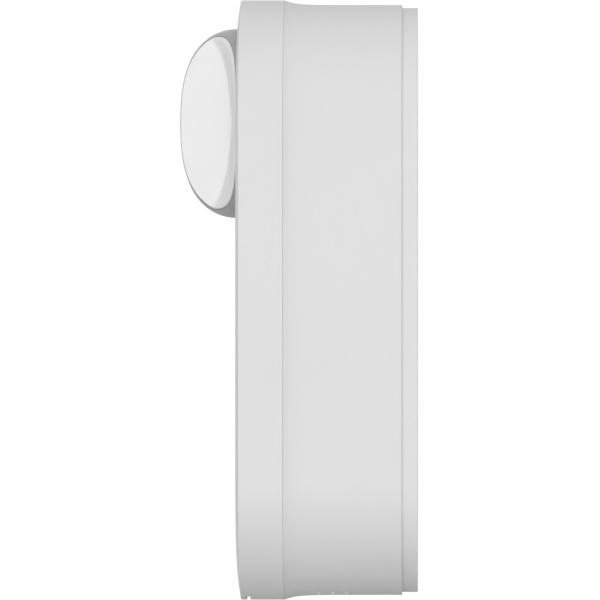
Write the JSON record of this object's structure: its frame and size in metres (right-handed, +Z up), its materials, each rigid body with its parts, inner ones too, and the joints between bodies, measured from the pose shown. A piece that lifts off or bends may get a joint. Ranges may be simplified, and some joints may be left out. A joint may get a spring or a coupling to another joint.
{
  "type": "video doorbell",
  "caption": "Battery video doorbell: a capsule-shaped unit with a domed, scooped camera pod and a round bell button, hung on a slim wall plate.",
  "frame": {"origin": "centre of the wall plate's rear face, midway between the two wall screws", "axes": "+Z up, -Y out of the wall towards the visitor, +X to the visitor's right"},
  "size_m": [0.052, 0.0514, 0.13],
  "materials": {
    "shell_white": "fine satin moulded ASA plastic, light neutral grey-white",
    "plate_white": "satin moulded plastic, light neutral grey-white",
    "cheek_white": "semi-gloss bright white plastic",
    "pod_grey": "semi-gloss mid grey plastic",
    "camera_glass": "polished dark tinted window",
    "lens_glass": "coated lens glass",
    "filter_glass": "thin coated filter glass",
    "black_plastic": "black moulded plastic",
    "frame_plastic": "dark grey glass-filled plastic",
    "seal_rubber": "soft silicone rubber",
    "flap_rubber": "grey silicone rubber",
    "diffuser_white": "milky light guide plastic",
    "circuit_board": "green solder mask over glass fibre laminate",
    "bright_metal": "nickel-plated steel",
    "brass_metal": "plain brass",
    "cell_wrap": "blue shrink-wrapped battery cell",
    "led_clear": "clear cast epoxy"
  },
  "bodies": {
    "wall_mount": {"wall_plate": "plate_white"},
    "unit": {"main_housing": "shell_white", "core_frame": "frame_plastic", "housing_gasket": "seal_rubber", "pod_shell": "pod_grey", "pod_cheek_left": "cheek_white", "pod_cheek_right": "cheek_white", "camera_window": "camera_glass", "lens_front_element": "lens_glass", "lens_barrel": "black_plastic", "lens_holder": "black_plastic", "image_sensor": "black_plastic", "ir_led_boards": "circuit_board", "ir_leds": "led_clear", "pir_lens": "diffuser_white", "pir_sensor": "bright_metal", "button_switch": "black_plastic", "light_ring": "diffuser_white", "ring_leds": "led_clear", "main_board": "circuit_board", "shield_can": "bright_metal", "wifi_antenna": "brass_metal", "microphone": "brass_metal", "microphone_boot": "seal_rubber", "speaker": "frame_plastic", "speaker_gasket": "seal_rubber", "battery_cell_left": "cell_wrap", "battery_cell_right": "cell_wrap", "battery_cradle": "frame_plastic", "battery_tabs": "bright_metal", "rear_board": "circuit_board", "usb_port": "bright_metal", "terminal_plates": "brass_metal", "terminal_screws": "bright_metal", "reset_switch": "black_plastic", "housing_screws": "bright_metal", "board_screws": "bright_metal", "security_screw": "bright_metal"},
    "cover": {"front_cover": "shell_white"},
    "bell": {"button_cap": "shell_white", "button_stem": "frame_plastic"},
    "flap": {"port_flap": "flap_rubber"},
    "reset": {"reset_button": "frame_plastic"},
    "filter": {"ir_cut_filter": "filter_glass"}
  },
  "joints": [
    {"name": "unit_tilt", "type": "hinge", "parent": "wall_mount", "child": "unit", "pos_m": [0, -0.004, 0.0624], "axis": [-1, 0, 0], "range_deg": [0, 12]},
    {"name": "cover_pull", "type": "slide", "parent": "unit", "child": "cover", "axis": [0, -1, 0], "range_m": [0, 0.013]},
    {"name": "bell_press", "type": "slide", "parent": "unit", "child": "bell", "axis": [0, 1, 0], "range_m": [0, 0.0006], "stiffness_N_per_m": 2000, "springref_m": -0.0002},
    {"name": "flap_open", "type": "hinge", "parent": "unit", "child": "flap", "pos_m": [0, -0.00765, 0.0396], "axis": [1, 0, 0], "range_deg": [0, 95]},
    {"name": "reset_press", "type": "slide", "parent": "unit", "child": "reset", "axis": [0, -1, 0], "range_m": [0, 0.0005], "stiffness_N_per_m": 1500, "springref_m": -0.0002},
    {"name": "filter_shift", "type": "slide", "parent": "unit", "child": "filter", "axis": [-1, 0, 0], "range_m": [0, 0.0027]}
  ]
}
